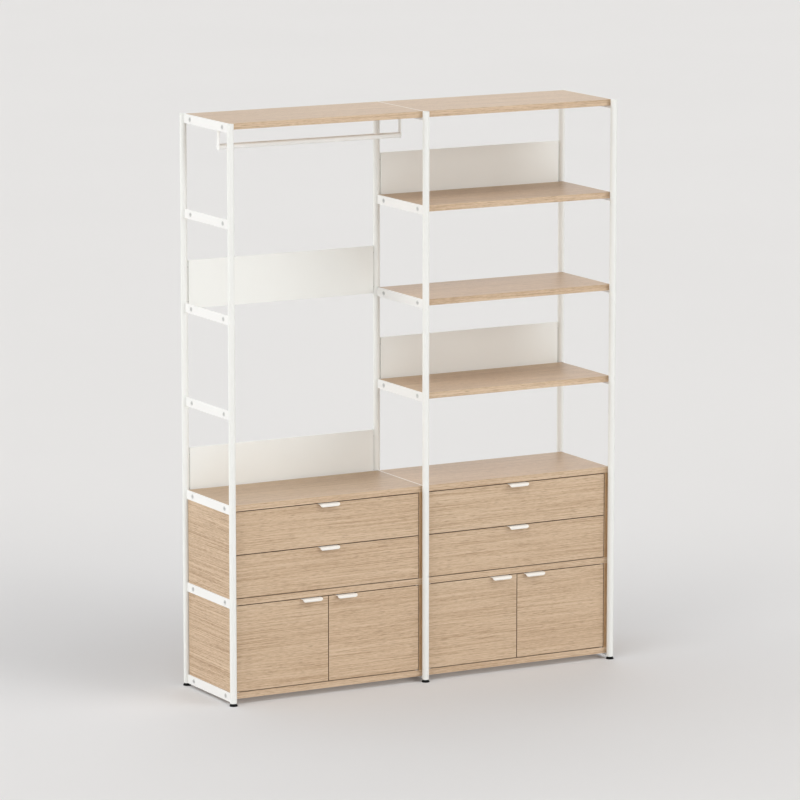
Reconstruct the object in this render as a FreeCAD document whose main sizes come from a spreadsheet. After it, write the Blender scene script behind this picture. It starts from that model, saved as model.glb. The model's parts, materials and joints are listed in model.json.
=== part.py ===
import FreeCAD, Part
import Sketcher
import os
import re

# An open wardrobe for a bedroom or hall. Three white steel ladder frames carry oak boards in two bays.
# Each bay stands on a cabinet with two drawers above two doors. The left bay has a hanging rail.
# Frame: origin on the floor at the middle of the footprint, +X to the right, +Y to the back, +Z up.

LEVEL_COUNT = 7
TOP_LEVEL = LEVEL_COUNT - 1
COUNTER_LEVEL = 2
DIVIDER_LEVEL = 1
BASE_LEVEL = 0
FULL_TURN = 360

# Driving dimensions, in millimetres
SIZES = {
    # ladder frames
    "bay_pitch": 800,  # from one ladder frame to the next
    "post_spacing": 380,  # from a front post's axis to the rear post's axis
    "level_pitch": 348,  # from one crossbar to the next
    "post_diameter": 25,
    "post_wall": 1.5,
    "crossbar_height": 34,
    "crossbar_thickness": 4,
    "weld_gap": 0.1,  # between a crossbar's end and the post's wall
    # bolts through the crossbars into the boards' ends
    "bolt_setback": 60,  # from a post's axis to the bolt beside it
    "bolt_diameter": 10,
    "bolt_clearance": 0.2,  # round the bolt, in the crossbar and in the board
    "bolt_recess": 1,  # from the crossbar's outer face in to the bolt's end
    "bolt_reach": 30,  # into the board
    "socket_size": 5.8,  # across the corners of the hexagon
    "socket_depth": 3,
    # plugs in the posts' ends
    "plug_clearance": 0.1,
    "glide_height": 10,
    "glide_flare": 2.5,  # from the post's wall out to the glide's rim
    "glide_step": 0.5,  # from the post's wall in to the glide's upper edge
    "glide_rim": 2,
    "glide_stem": 18,
    "cap_depth": 8,
    # boards
    "board_thickness": 23,
    "board_inset": 15,  # from a post's axis to the boards' nearest edge
    "side_thickness": 17,
    "back_thickness": 6,
    "front_thickness": 18,
    "front_gap": 3,  # round every drawer front and door
    # drawers
    "runner_space": 13,  # between a cabinet side and the drawer box
    "runner_height": 26,
    "runner_sheet": 1.5,
    "runner_clearance": 0.4,
    "runner_rise": 60,  # from the drawer front's lower edge to the runner's middle
    "box_lift": 16,  # from the front's lower edge to the box's underside
    "box_height": 116,
    "box_depth": 300,
    "box_wall": 12,
    "box_base": 6,
    # bent sheet pulls
    "pull_width": 81,
    "pull_sheet": 2,
    "pull_seat": 12,  # the part that is let into the front's top edge
    "pull_fit": 0.2,  # round the seat
    "pull_reach": 19,  # from the front's face out to the lip
    "pull_drop": 11,  # how far the lip comes down
    "pull_bend": 8,  # the outer radius between the ledge and the lip
    "pull_corner": 9.5,
    "door_pull_setback": 72,  # from the bay's middle to a door pull's middle
    # door pivots
    "pivot_diameter": 5,
    "pivot_setback": 6,  # from the door's front face and outer edge to the axis
    "pivot_seat": 14,  # in the door
    "pivot_reach": 8,  # in the bush
    "pivot_clearance": 0.08,
    "bush_diameter": 9,
    "bush_flange": 11,
    "bush_flange_thickness": 1,
    "bush_depth": 10,
    # steel back panels
    "panel_height": 178,
    "panel_depth": 10,
    "panel_sheet": 1.2,
    "panel_lead": 4.5,  # from the rear posts' axes forward to the panel's face
    "panel_end_gap": 3.4,  # from a post's wall to the panel's end
    # screws
    "screw_diameter": 3.6,
    "screw_length": 12,
    "screw_head": 6,
    "screw_head_height": 2,
    "screw_clearance": 0.1,
    "panel_screw_margin": 25,  # from the panel's upper or lower edge
    # hanging rail
    "rail_diameter": 20,
    "rail_wall": 1.5,
    "rail_drop": 82.5,  # from the top bolts' height to the rail's axis
    "rail_forward": 40,  # from the middle of the frame's depth
    "rail_end_reach": 0.5,  # past the bracket's outer face
    "rail_clearance": 0.15,
    "bracket_inset": 26,  # from a ladder frame's middle plane to the bracket's outer face
    "bracket_sheet": 3,
    "bracket_width": 17,
    "bracket_eye": 24,
    "bracket_foot": 46,
    # cuts run past the faces that they open by this much
    "overrun": 1,
}

# Sizes and places worked out from the driving dimensions
DERIVED = {
    "post_radius": "post_diameter / 2",
    "bore_diameter": "post_diameter - 2 * post_wall",
    "bolt_hole_radius": "bolt_diameter / 2 + bolt_clearance",
    "glide_base_diameter": "post_diameter + 2 * glide_flare",
    "glide_top_diameter": "post_diameter - 2 * glide_step",
    "front_post": "-post_spacing / 2",
    "rear_post": "post_spacing / 2",
    "post_length": "%d * level_pitch + crossbar_height" % TOP_LEVEL,
    "bolt_height": "glide_height + crossbar_height / 2",
    "crossbar_reach": "post_radius + weld_gap",
    "plug_diameter": "bore_diameter - 2 * plug_clearance",
    "board_front": "front_post + board_inset",
    "board_depth": "post_spacing - 2 * board_inset",
    "board_rear": "board_front + board_depth",
    "board_length": "bay_pitch - crossbar_thickness",
    "board_top": "bolt_height + crossbar_height / 2",
    "board_underside": "board_top - board_thickness",
    "module_height": "level_pitch - board_thickness",
    "side_face": "crossbar_thickness / 2 + side_thickness",
    "opening_width": "bay_pitch - 2 * side_face",
    "front_edge": "side_face + front_gap",
    "front_width": "bay_pitch - 2 * front_edge",
    "drawer_front_height": "(module_height - 3 * front_gap) / 2",
    "drawer_pitch": "drawer_front_height + front_gap",
    "box_width": "opening_width - 2 * runner_space",
    "box_front": "board_front + front_thickness",
    "runner_length": "box_depth",
    "slide_height": "runner_height - 2 * runner_sheet - 2 * runner_clearance",
    "slide_thickness": "runner_space - runner_sheet - runner_clearance",
    "door_width": "(front_width - front_gap) / 2",
    "door_height": "module_height - 2 * front_gap",
    "pivot_axis": "front_edge + pivot_setback",
    "pivot_radius": "pivot_diameter / 2",
    "pivot_length": "pivot_seat + front_gap + pivot_reach",
    "panel_face": "rear_post - panel_lead",
    "panel_inset": "post_radius + panel_end_gap",
    "panel_length": "bay_pitch - 2 * panel_inset",
    "panel_foot": "board_underside",
    "panel_screw_low": "panel_foot + panel_screw_margin",
    "panel_screw_high": "panel_foot + panel_height - panel_screw_margin",
    "screw_hole_radius": "screw_diameter / 2 + screw_clearance",
    "rail_line": "front_post + post_spacing / 2 - rail_forward",
    "rail_height": "bolt_height + %d * level_pitch - rail_drop" % TOP_LEVEL,
    "rail_end_inset": "bracket_inset - rail_end_reach",
    "rail_length": "bay_pitch - 2 * rail_end_inset",
    "shelf_underside": "board_underside + %d * level_pitch" % TOP_LEVEL,
    "bracket_screw_inset": "bracket_foot / 2 + bracket_sheet / 2",
}

doc = FreeCAD.newDocument("open_wardrobe")
sheet = doc.addObject("Spreadsheet::Sheet", "Sizes")
for row, (alias, value) in enumerate(SIZES.items(), start=1):
    sheet.set("A%d" % row, alias)
    sheet.set("B%d" % row, str(value))
    sheet.setAlias("B%d" % row, alias)
doc.recompute()


# Helpers that bind an object's sizes to the sheet
def formula(text):
    """Spells a sum of named sizes with the sheet's cells, so that it can be bound to a property."""

    def spell(match):
        word = match.group(0)
        if word in DERIVED:
            return "(" + formula(DERIVED[word]) + ")"
        return "Sizes." + word if word in SIZES else word

    return re.sub(r"[a-z_]+", spell, text)


def value_of(text):
    """The present value of a sum of named sizes."""
    return float(sheet.evalExpression(formula(text)))


def bind(thing, **sizes):
    for prop, text in sizes.items():
        thing.setExpression(prop, formula(text))
    return thing


def place(thing, x="0", y="0", z="0", turn=None):
    if turn is not None:
        thing.Placement = FreeCAD.Placement(FreeCAD.Vector(0, 0, 0), turn)
    for axis, text in zip("xyz", (x, y, z)):
        thing.setExpression("Placement.Base." + axis, formula(text))
    return thing


ALONG = {
    "X": FreeCAD.Rotation(FreeCAD.Vector(0, 0, 1), FreeCAD.Vector(1, 0, 0)),
    "Y": FreeCAD.Rotation(FreeCAD.Vector(0, 0, 1), FreeCAD.Vector(0, 1, 0)),
    "Z": FreeCAD.Rotation(),
}


def block(name, size, at):
    box = doc.addObject("Part::Box", name)
    bind(box, Length=size[0], Width=size[1], Height=size[2])
    return place(box, *at)


def rod(name, radius, length, at, along="Z"):
    cylinder = doc.addObject("Part::Cylinder", name)
    bind(cylinder, Radius=radius, Height=length)
    return place(cylinder, *at, turn=ALONG[along])


def join(name, pieces):
    if len(pieces) == 1:
        return pieces[0]
    fuse = doc.addObject("Part::MultiFuse", name)
    fuse.Shapes = pieces
    return fuse


def cut(name, base, tools):
    result = doc.addObject("Part::Cut", name)
    result.Base = base
    result.Tool = join(name + "_tools", tools)
    return result


def tube(name, radius, wall, length, at, along="Z"):
    outer = rod(name + "_outer", radius, length, at, along)
    inner = rod(name + "_inner", radius + " - " + wall, length, at, along)
    return cut(name, outer, [inner])


def new_body(name):
    body = doc.addObject("PartDesign::Body", name)
    body.AllowCompound = True
    return body


def origin_part(body, role):
    return next(item for item in body.Origin.OriginFeatures if item.Role == role)


def new_sketch(body, name, plane):
    sketch = body.newObject("Sketcher::SketchObject", name)
    sketch.AttachmentSupport = (origin_part(body, plane), "")
    sketch.MapMode = "FlatFace"
    return sketch


def pin_point(sketch, edge, end, at):
    """Holds one end or the centre of a sketch edge at a place given by two named sums."""
    for kind, axis_line, text in (("DistanceX", -2, at[0]), ("DistanceY", -1, at[1])):
        amount = value_of(text)
        if amount == 0:
            sketch.addConstraint(Sketcher.Constraint("PointOnObject", edge, end, axis_line))
            continue
        ends = (-1, 1, edge, end) if amount > 0 else (edge, end, -1, 1)
        index = sketch.addConstraint(Sketcher.Constraint(kind, *ends, abs(amount)))
        signed = formula(text) if amount > 0 else "-(" + formula(text) + ")"
        sketch.setExpression("Constraints[%d]" % index, signed)


def outline(sketch, corners):
    """Draws a closed outline through corners given as pairs of named sums."""
    points = [FreeCAD.Vector(value_of(a), value_of(b), 0) for a, b in corners]
    first = sketch.GeometryCount
    count = len(points)
    for index, point in enumerate(points):
        sketch.addGeometry(Part.LineSegment(point, points[(index + 1) % count]))
    for index, corner in enumerate(corners):
        previous = first + (index - 1) % count
        sketch.addConstraint(Sketcher.Constraint("Coincident", previous, 2, first + index, 1))
        pin_point(sketch, first + index, 1, corner)


def ring(sketch, centre, radius):
    middle = FreeCAD.Vector(value_of(centre[0]), value_of(centre[1]), 0)
    circle = Part.Circle(middle, FreeCAD.Vector(0, 0, 1), value_of(radius))
    edge = sketch.addGeometry(circle)
    pin_point(sketch, edge, 3, centre)
    index = sketch.addConstraint(Sketcher.Constraint("Radius", edge, value_of(radius)))
    sketch.setExpression("Constraints[%d]" % index, formula(radius))


def rectangle(x_low, y_low, x_high, y_high):
    return [(x_low, y_low), (x_high, y_low), (x_high, y_high), (x_low, y_high)]


def pad(body, sketch, length, midplane=False, backwards=False):
    feature = body.newObject("PartDesign::Pad", sketch.Name + "_pad")
    feature.Profile = sketch
    feature.Midplane = midplane
    feature.Reversed = backwards
    return bind(feature, Length=length)


def pocket(body, sketch, length, backwards=False):
    """Cuts a sketch out of a body, and makes sure that it took material away."""
    doc.recompute()
    before = body.Shape.Volume
    feature = body.newObject("PartDesign::Pocket", sketch.Name + "_pocket")
    feature.Profile = sketch
    feature.Reversed = backwards
    bind(feature, Length=length)
    doc.recompute()
    if not body.Shape.Volume < before:
        raise RuntimeError(feature.Name + " cuts nothing")
    return feature


def round_edges(body, name, radius, wanted):
    """Rounds the edges whose two ends both pass the test."""
    doc.recompute()
    base = body.Tip
    names = [
        "Edge%d" % number
        for number, edge in enumerate(base.Shape.Edges, start=1)
        if len(edge.Vertexes) == 2 and wanted([vertex.Point for vertex in edge.Vertexes])
    ]
    fillet = body.newObject("PartDesign::Fillet", name)
    fillet.Base = (base, names)
    return bind(fillet, Radius=radius)


NODES = {}


def node(label, pieces):
    """Names a finished sub-part, which is one object or a group of like ones."""
    if len(pieces) == 1:
        finished = pieces[0]
    else:
        finished = doc.addObject("Part::Compound", label + "_group")
        finished.Links = pieces
    finished.Label = label
    NODES[label] = finished
    return finished


def level_up(text, level):
    return "%s + %d * level_pitch" % (text, level)


# The two bays, each with its middle, and the three frames between and beside them
BAYS = {"left_bay": "-bay_pitch / 2", "right_bay": "bay_pitch / 2"}
FRAMES = {"left_frame": "-bay_pitch", "middle_frame": "0", "right_frame": "bay_pitch"}
BAY_STARTS = {"left_bay": "-bay_pitch", "right_bay": "0"}

# Boards: their bay and level
BOARDS = {
    "top_shelf_left": ("left_bay", TOP_LEVEL),
    "top_shelf_right": ("right_bay", TOP_LEVEL),
    "upper_shelf_right": ("right_bay", 5),
    "middle_shelf_right": ("right_bay", 4),
    "lower_shelf_right": ("right_bay", 3),
    "counter_left": ("left_bay", COUNTER_LEVEL),
    "counter_right": ("right_bay", COUNTER_LEVEL),
    "divider_board_left": ("left_bay", DIVIDER_LEVEL),
    "divider_board_right": ("right_bay", DIVIDER_LEVEL),
    "base_board_left": ("left_bay", BASE_LEVEL),
    "base_board_right": ("right_bay", BASE_LEVEL),
}

# Back panels: their bay, and the level that each one stands up from
BACK_PANELS = {
    "upper_back_panel_left": ("left_bay", 4),
    "lower_back_panel_left": ("left_bay", COUNTER_LEVEL),
    "upper_back_panel_right": ("right_bay", 5),
    "lower_back_panel_right": ("right_bay", 3),
}


def bolt_lines():
    return ("front_post + bolt_setback", "rear_post - bolt_setback")


def panel_screws():
    """Where each back panel is screwed to a rear post: the post, the screw's side of it and its height."""
    for bay, level in BACK_PANELS.values():
        start = BAY_STARTS[bay]
        for post, side in ((start, "right"), (start + " + bay_pitch", "left")):
            for height in ("panel_screw_low", "panel_screw_high"):
                yield post, side, level_up(height, level)


def bracket_screws():
    """Where the rail's brackets are screwed to the top shelf."""
    start = BAY_STARTS["left_bay"]
    yield start + " + bracket_inset + bracket_screw_inset"
    yield start + " + bay_pitch - bracket_inset - bracket_screw_inset"


# Ladder frames
def make_posts(frame, middle):
    """Two round tubes. The rear one has holes for the back panels' screws."""
    form = ("post_radius", "post_wall", "post_length")
    front = tube(frame + "_front_post", *form, (middle, "front_post", "glide_height"))
    rear = tube(frame + "_rear_post", *form, (middle, "rear_post", "glide_height"))
    starts = {"right": middle, "left": middle + " - post_radius - overrun"}
    depth = "post_radius + overrun"
    holes = [
        rod(frame + "_screw_hole", "screw_hole_radius", depth, (starts[side], "rear_post", z), "X")
        for post, side, z in panel_screws()
        if value_of(post) == value_of(middle)
    ]
    if holes:
        rear = cut(frame + "_drilled_rear_post", rear, holes)
    node(frame + "_posts", [front, rear])


def make_crossbars(frame, middle):
    """Seven flat bars, each with a bolt hole near both ends."""
    body = new_body(frame + "_crossbar_column")
    sketch = new_sketch(body, frame + "_crossbar_outline", "YZ_Plane")
    outline(
        sketch, rectangle("crossbar_reach", "0", "post_spacing - crossbar_reach", "crossbar_height")
    )
    for y in ("bolt_setback", "post_spacing - bolt_setback"):
        ring(sketch, (y, "crossbar_height / 2"), "bolt_hole_radius")
    bar = pad(body, sketch, "crossbar_thickness", midplane=True)
    column = body.newObject("PartDesign::LinearPattern", frame + "_crossbar_pattern")
    column.Originals = [bar]
    column.Direction = (origin_part(body, "Z_Axis"), [""])
    column.Occurrences = LEVEL_COUNT
    bind(column, Length="%d * level_pitch" % TOP_LEVEL)
    body.Tip = column
    place(body, middle, "front_post", "glide_height")
    node(frame + "_crossbars", [body])


def make_glide(name, x, y):
    """A flared foot with a stem that is pressed up into the post."""
    body = new_body(name)
    sketch = new_sketch(body, name + "_outline", "XZ_Plane")
    stem = "plug_diameter / 2"
    outline(
        sketch,
        [
            ("0", "0"),
            ("glide_base_diameter / 2", "0"),
            ("glide_base_diameter / 2", "glide_rim"),
            ("glide_top_diameter / 2", "glide_height"),
            (stem, "glide_height"),
            (stem, "glide_height + glide_stem"),
            ("0", "glide_height + glide_stem"),
        ],
    )
    turned = body.newObject("PartDesign::Revolution", name + "_turned")
    turned.Profile = sketch
    turned.ReferenceAxis = (sketch, ["V_Axis"])
    turned.Angle = FULL_TURN
    body.Tip = turned
    return place(body, x, y, "0")


def make_plugs():
    """A glide under each post and a flush cap in its upper end."""
    glides = []
    caps = []
    for frame, middle in FRAMES.items():
        for place_name, y in (("front", "front_post"), ("rear", "rear_post")):
            name = "%s_%s" % (frame, place_name)
            glides.append(make_glide(name + "_glide", middle, y))
            top = "glide_height + post_length - cap_depth"
            caps.append(rod(name + "_cap", "plug_diameter / 2", "cap_depth", (middle, y, top)))
    node("glide_feet", glides)
    node("post_caps", caps)


# Boards
def board_holes(label, bay, level):
    """The bores for the bolts in both of a board's ends."""
    start = BAY_STARTS[bay]
    height = level_up("bolt_height", level)
    length = "bolt_reach + overrun"
    ends = (
        start + " + crossbar_thickness / 2 - overrun",
        start + " + bay_pitch - crossbar_thickness / 2 - bolt_reach",
    )
    return [
        rod(label + "_bolt_bore", "bolt_hole_radius", length, (x, y, height), "X")
        for x in ends
        for y in bolt_lines()
    ]


def pivot_lines(bay):
    """The upright axes of a bay's two doors."""
    start = BAY_STARTS[bay]
    return start + " + pivot_axis", start + " + bay_pitch - pivot_axis"


def bush_holes(label, bay, level):
    """The bores for the door bushes: up into the divider board and down into the base board."""
    places = {
        DIVIDER_LEVEL: level_up("board_underside - overrun", DIVIDER_LEVEL),
        BASE_LEVEL: "board_top - bush_depth",
    }
    if level not in places:
        return []
    return [
        rod(
            label + "_bush_bore",
            "bush_diameter / 2",
            "bush_depth + overrun",
            (x, "board_front + pivot_setback", places[level]),
        )
        for x in pivot_lines(bay)
    ]


def bracket_holes(label):
    """The pilot holes under the left bay's top shelf."""
    if label != "top_shelf_left":
        return []
    length = "screw_length - bracket_sheet + overrun"
    return [
        rod(label + "_pilot", "screw_hole_radius", length, (x, "rail_line", "shelf_underside - overrun"))
        for x in bracket_screws()
    ]


def make_board(label, bay, level):
    start = BAY_STARTS[bay]
    corner = (start + " + crossbar_thickness / 2", "board_front", level_up("board_underside", level))
    plain = block(label + "_plain", ("board_length", "board_depth", "board_thickness"), corner)
    holes = board_holes(label, bay, level) + bush_holes(label, bay, level) + bracket_holes(label)
    node(label, [cut(label + "_board", plain, holes)])


def make_cabinet(bay, side):
    """The upright sides of one bay's drawer module and door module."""
    start = BAY_STARTS[bay]
    uprights = []
    for level in (BASE_LEVEL, DIVIDER_LEVEL):
        for x in (start + " + crossbar_thickness / 2", start + " + bay_pitch - side_face"):
            at = (x, "board_front", level_up("board_top", level))
            size = ("side_thickness", "board_depth", "module_height")
            uprights.append(block("%s_upright" % bay, size, at))
    node("cabinet_sides_" + side, uprights)


def make_cabinet_backs():
    backs = []
    for start in BAY_STARTS.values():
        for level in (BASE_LEVEL, DIVIDER_LEVEL):
            at = (start + " + side_face", "board_rear - back_thickness", level_up("board_top", level))
            backs.append(block("cabinet_back", ("opening_width", "back_thickness", "module_height"), at))
    node("cabinet_backs", backs)


# Bolts
def make_bolt(name, x, y, z, length, socket_at=None):
    """A connecting bolt along X, with a hexagon socket in the end that shows."""
    shank = rod(name + "_shank", "bolt_diameter / 2", length, (x, y, z), "X")
    if socket_at is None:
        return shank
    socket = doc.addObject("Part::Prism", name + "_socket")
    socket.Polygon = 6
    bind(socket, Circumradius="socket_size / 2", Height="socket_depth + overrun")
    place(socket, socket_at, y, z, turn=ALONG["X"])
    return cut(name, shank, [socket])


def make_bolts():
    levels = {bay: {level for owner, level in BOARDS.values() if owner == bay} for bay in BAYS}
    single = "crossbar_thickness - bolt_recess + bolt_reach"
    outer_face = "crossbar_thickness / 2 - bolt_recess"
    bolts = []
    for level in range(LEVEL_COUNT):
        z = level_up("bolt_height", level)
        for y in bolt_lines():
            name = "bolt_%d" % level
            if level in levels["left_bay"]:
                x = "-bay_pitch - (%s)" % outer_face
                bolts.append(make_bolt(name, x, y, z, single, x + " - overrun"))
                x = "-(crossbar_thickness / 2 + bolt_reach)"
                bolts.append(make_bolt(name, x, y, z, "crossbar_thickness + 2 * bolt_reach"))
            else:
                x = "-(%s)" % outer_face
                bolts.append(make_bolt(name, x, y, z, single, x + " - overrun"))
            x = "bay_pitch - crossbar_thickness / 2 - bolt_reach"
            end = "bay_pitch + %s" % outer_face
            bolts.append(make_bolt(name, x, y, z, single, end + " - socket_depth"))
    node("connecting_bolts", bolts)


# Back panels and their screws
def make_back_panel(label, bay, level):
    """A shallow steel tray between two rear posts, open to the back, with folded edges all round."""
    body = new_body(label + "_tray")
    face = new_sketch(body, label + "_outline", "XZ_Plane")
    outline(face, rectangle("0", "0", "panel_length", "panel_height"))
    pad(body, face, "panel_depth", backwards=True)
    inside = new_sketch(body, label + "_inside", "XZ_Plane")
    far_end = "panel_length - panel_sheet"
    upper = "panel_height - panel_sheet"
    outline(inside, rectangle("panel_sheet", "panel_sheet", far_end, upper))
    inside.AttachmentOffset = FreeCAD.Placement()
    inside.setExpression("AttachmentOffset.Base.z", formula("-panel_depth"))
    pocket(body, inside, "panel_depth - panel_sheet", backwards=True)
    holes = new_sketch(body, label + "_screw_holes", "YZ_Plane")
    for z in ("panel_screw_margin", "panel_height - panel_screw_margin"):
        ring(holes, ("panel_lead", z), "screw_hole_radius")
    pocket(body, holes, "panel_length", backwards=True)
    place(body, BAY_STARTS[bay] + " + panel_inset", "panel_face", level_up("panel_foot", level))
    node(label, [body])


def make_screws():
    screws = []
    seat = "(panel_inset + panel_sheet)"
    for post, side, z in panel_screws():
        if side == "right":
            head_at = "%s + %s" % (post, seat)
            shank_at = head_at + " - screw_length"
        else:
            shank_at = "%s - %s" % (post, seat)
            head_at = shank_at + " - screw_head_height"
        foot = (shank_at, "rear_post", z)
        shank = rod("panel_screw_shank", "screw_diameter / 2", "screw_length", foot, "X")
        top = (head_at, "rear_post", z)
        head = rod("panel_screw_head", "screw_head / 2", "screw_head_height", top, "X")
        screws.append(join("panel_screw", [shank, head]))
    for x in bracket_screws():
        face = "shelf_underside - bracket_sheet"
        shank = rod("bracket_screw_shank", "screw_diameter / 2", "screw_length", (x, "rail_line", face))
        head_at = (x, "rail_line", face + " - screw_head_height")
        head = rod("bracket_screw_head", "screw_head / 2", "screw_head_height", head_at)
        screws.append(join("bracket_screw", [shank, head]))
    node("pan_head_screws", screws)


# Hanging rail
def make_rail():
    start = BAY_STARTS["left_bay"]
    at = (start + " + rail_end_inset", "rail_line", "rail_height")
    node("hanging_rail", [tube("rail", "rail_diameter / 2", "rail_wall", "rail_length", at, "X")])


def make_bracket(name, outer_face, foot_start):
    """A strap that hangs from the shelf, with an eye for the rail and a foot under the shelf."""
    y = "rail_line - bracket_width / 2"
    strap_size = ("bracket_sheet", "bracket_width", "shelf_underside - rail_height")
    strap = block(name + "_strap", strap_size, (outer_face, y, "rail_height"))
    foot_size = ("bracket_foot", "bracket_width", "bracket_sheet")
    foot = block(name + "_foot", foot_size, (foot_start, y, "shelf_underside - bracket_sheet"))
    eye_at = (outer_face, "rail_line", "rail_height")
    eye = rod(name + "_eye", "bracket_eye / 2", "bracket_sheet", eye_at, "X")
    blank = join(name + "_blank", [strap, foot, eye])
    bore_at = (outer_face + " - overrun", "rail_line", "rail_height")
    bore_length = "bracket_sheet + 2 * overrun"
    bore = rod(name + "_bore", "rail_diameter / 2 + rail_clearance", bore_length, bore_at, "X")
    return blank, bore


def make_brackets():
    start = BAY_STARTS["left_bay"]
    screws = list(bracket_screws())
    left_face = start + " + bracket_inset"
    right_face = start + " + bay_pitch - bracket_inset - bracket_sheet"
    right_foot = start + " + bay_pitch - bracket_inset - bracket_foot"
    brackets = []
    for name, face, foot, x in (
        ("left_bracket", left_face, left_face, screws[0]),
        ("right_bracket", right_face, right_foot, screws[1]),
    ):
        blank, bore = make_bracket(name, face, foot)
        hole_at = (x, "rail_line", "shelf_underside - bracket_sheet - overrun")
        hole = rod(name + "_hole", "screw_hole_radius", "bracket_sheet + 2 * overrun", hole_at)
        brackets.append(cut(name, blank, [bore, hole]))
    node("rail_brackets", brackets)


# Pulls
def make_pull(name, x, z):
    """Sheet with a seat let into the front's top edge, a ledge forward and a lip that bends down."""
    body = new_body(name)
    sketch = new_sketch(body, name + "_section", "YZ_Plane")
    inner = "-(pull_reach - pull_sheet)"
    outline(
        sketch,
        [
            ("pull_seat", "-pull_sheet"),
            ("pull_seat", "0"),
            ("-pull_reach", "0"),
            ("-pull_reach", "-pull_drop"),
            (inner, "-pull_drop"),
            (inner, "-pull_sheet"),
        ],
    )
    pad(body, sketch, "pull_width", midplane=True)
    half = value_of("pull_width / 2")
    thickness = value_of("pull_sheet")
    reach = value_of("pull_reach")

    def at_crease(depth):
        """Picks the edge along the pull at that depth behind the lip's face and under the ledge's."""

        def wanted(points):
            across = abs(points[0].x - points[1].x) > half
            return across and all(
                abs(point.y + reach - depth) < thickness / 2 and abs(point.z + depth) < thickness / 2
                for point in points
            )

        return wanted

    round_edges(body, name + "_outer_bend", "pull_bend", at_crease(0))
    round_edges(body, name + "_inner_bend", "pull_bend - pull_sheet", at_crease(thickness))
    place(body, x, "board_front", z)

    low = z + " - pull_drop"
    front = "board_front - pull_reach - overrun"
    depth = "pull_sheet + pull_bend + overrun"
    corners = []
    for end, block_x, rod_x in (
        ("left", " - pull_width / 2 - overrun", " - pull_width / 2 + pull_corner"),
        ("right", " + pull_width / 2 - pull_corner", " + pull_width / 2 - pull_corner"),
    ):
        size = ("pull_corner + overrun", depth, "pull_corner + overrun")
        square = block(name + "_%s_square" % end, size, (x + block_x, front, low + " - overrun"))
        round_at = (x + rod_x, front + " - overrun", low + " + pull_corner")
        quarter = rod(name + "_%s_round" % end, "pull_corner", depth + " + 2 * overrun", round_at, "Y")
        corners.append(cut(name + "_%s_corner" % end, square, [quarter]))
    return cut(name + "_tab", body, corners)


def pull_rebate(name, x, z):
    """The shallow cut in a front's top edge that the pull's seat lies in."""
    size = ("pull_width + 2 * pull_fit", "pull_seat + pull_fit + overrun", "pull_sheet + overrun")
    at = (x + " - pull_width / 2 - pull_fit", "board_front - overrun", z + " - pull_sheet")
    return block(name + "_rebate", size, at)


# Drawers
def make_drawer(bay, row, foot):
    """A drawer with its front, box, pull and the two slides that run in the fixed rails."""
    prefix = "%s_%s_drawer" % (bay, row)
    start = BAY_STARTS[bay]
    head = foot + " + drawer_front_height"
    front_size = ("front_width", "front_thickness", "drawer_front_height")
    plain = block(prefix + "_plain", front_size, (start + " + front_edge", "board_front", foot))
    node(prefix + "_front", [cut(prefix + "_face", plain, [pull_rebate(prefix, BAYS[bay], head)])])

    body = new_body(prefix + "_tray")
    base = new_sketch(body, prefix + "_footprint", "XY_Plane")
    outline(base, rectangle("0", "0", "box_width", "box_depth"))
    pad(body, base, "box_height")
    inside = new_sketch(body, prefix + "_inside", "XY_Plane")
    outline(inside, rectangle("box_wall", "box_wall", "box_width - box_wall", "box_depth - box_wall"))
    inside.AttachmentOffset = FreeCAD.Placement()
    inside.setExpression("AttachmentOffset.Base.z", formula("box_height"))
    pocket(body, inside, "box_height - box_base")
    place(body, start + " + side_face + runner_space", "box_front", foot + " + box_lift")
    node(prefix + "_box", [body])

    size = ("slide_thickness", "runner_length", "slide_height")
    low = foot + " + runner_rise - slide_height / 2"
    left = start + " + side_face + runner_space - slide_thickness"
    right = start + " + bay_pitch - side_face - runner_space"
    slides = [block(prefix + "_slide", size, (x, "box_front", low)) for x in (left, right)]
    node(prefix + "_slides", slides)

    node(prefix + "_pull", [make_pull(prefix + "_sheet", BAYS[bay], head)])


def make_runner(name, wall, height, mirrored):
    """A channel on a cabinet side, open towards the drawer."""
    body = new_body(name)
    sketch = new_sketch(body, name + "_section", "XZ_Plane")
    reach = "runner_space - runner_clearance"
    mouth = "runner_height / 2"
    inner = "runner_height / 2 - runner_sheet"
    sign = "-" if mirrored else ""
    section = [
        ("0", "-(%s)" % mouth),
        (reach, "-(%s)" % mouth),
        (reach, "-(%s)" % inner),
        ("runner_sheet", "-(%s)" % inner),
        ("runner_sheet", inner),
        (reach, inner),
        (reach, mouth),
        ("0", mouth),
    ]
    outline(sketch, [("%s(%s)" % (sign, x), z) for x, z in section])
    pad(body, sketch, "runner_length", backwards=True)
    return place(body, wall, "box_front", height)


def make_runners(feet):
    runners = []
    for bay, start in BAY_STARTS.items():
        for foot in feet:
            height = foot + " + runner_rise"
            left = start + " + side_face"
            right = start + " + bay_pitch - side_face"
            runners.append(make_runner(bay + "_left_runner", left, height, False))
            runners.append(make_runner(bay + "_right_runner", right, height, True))
    node("drawer_runners", runners)


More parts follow.
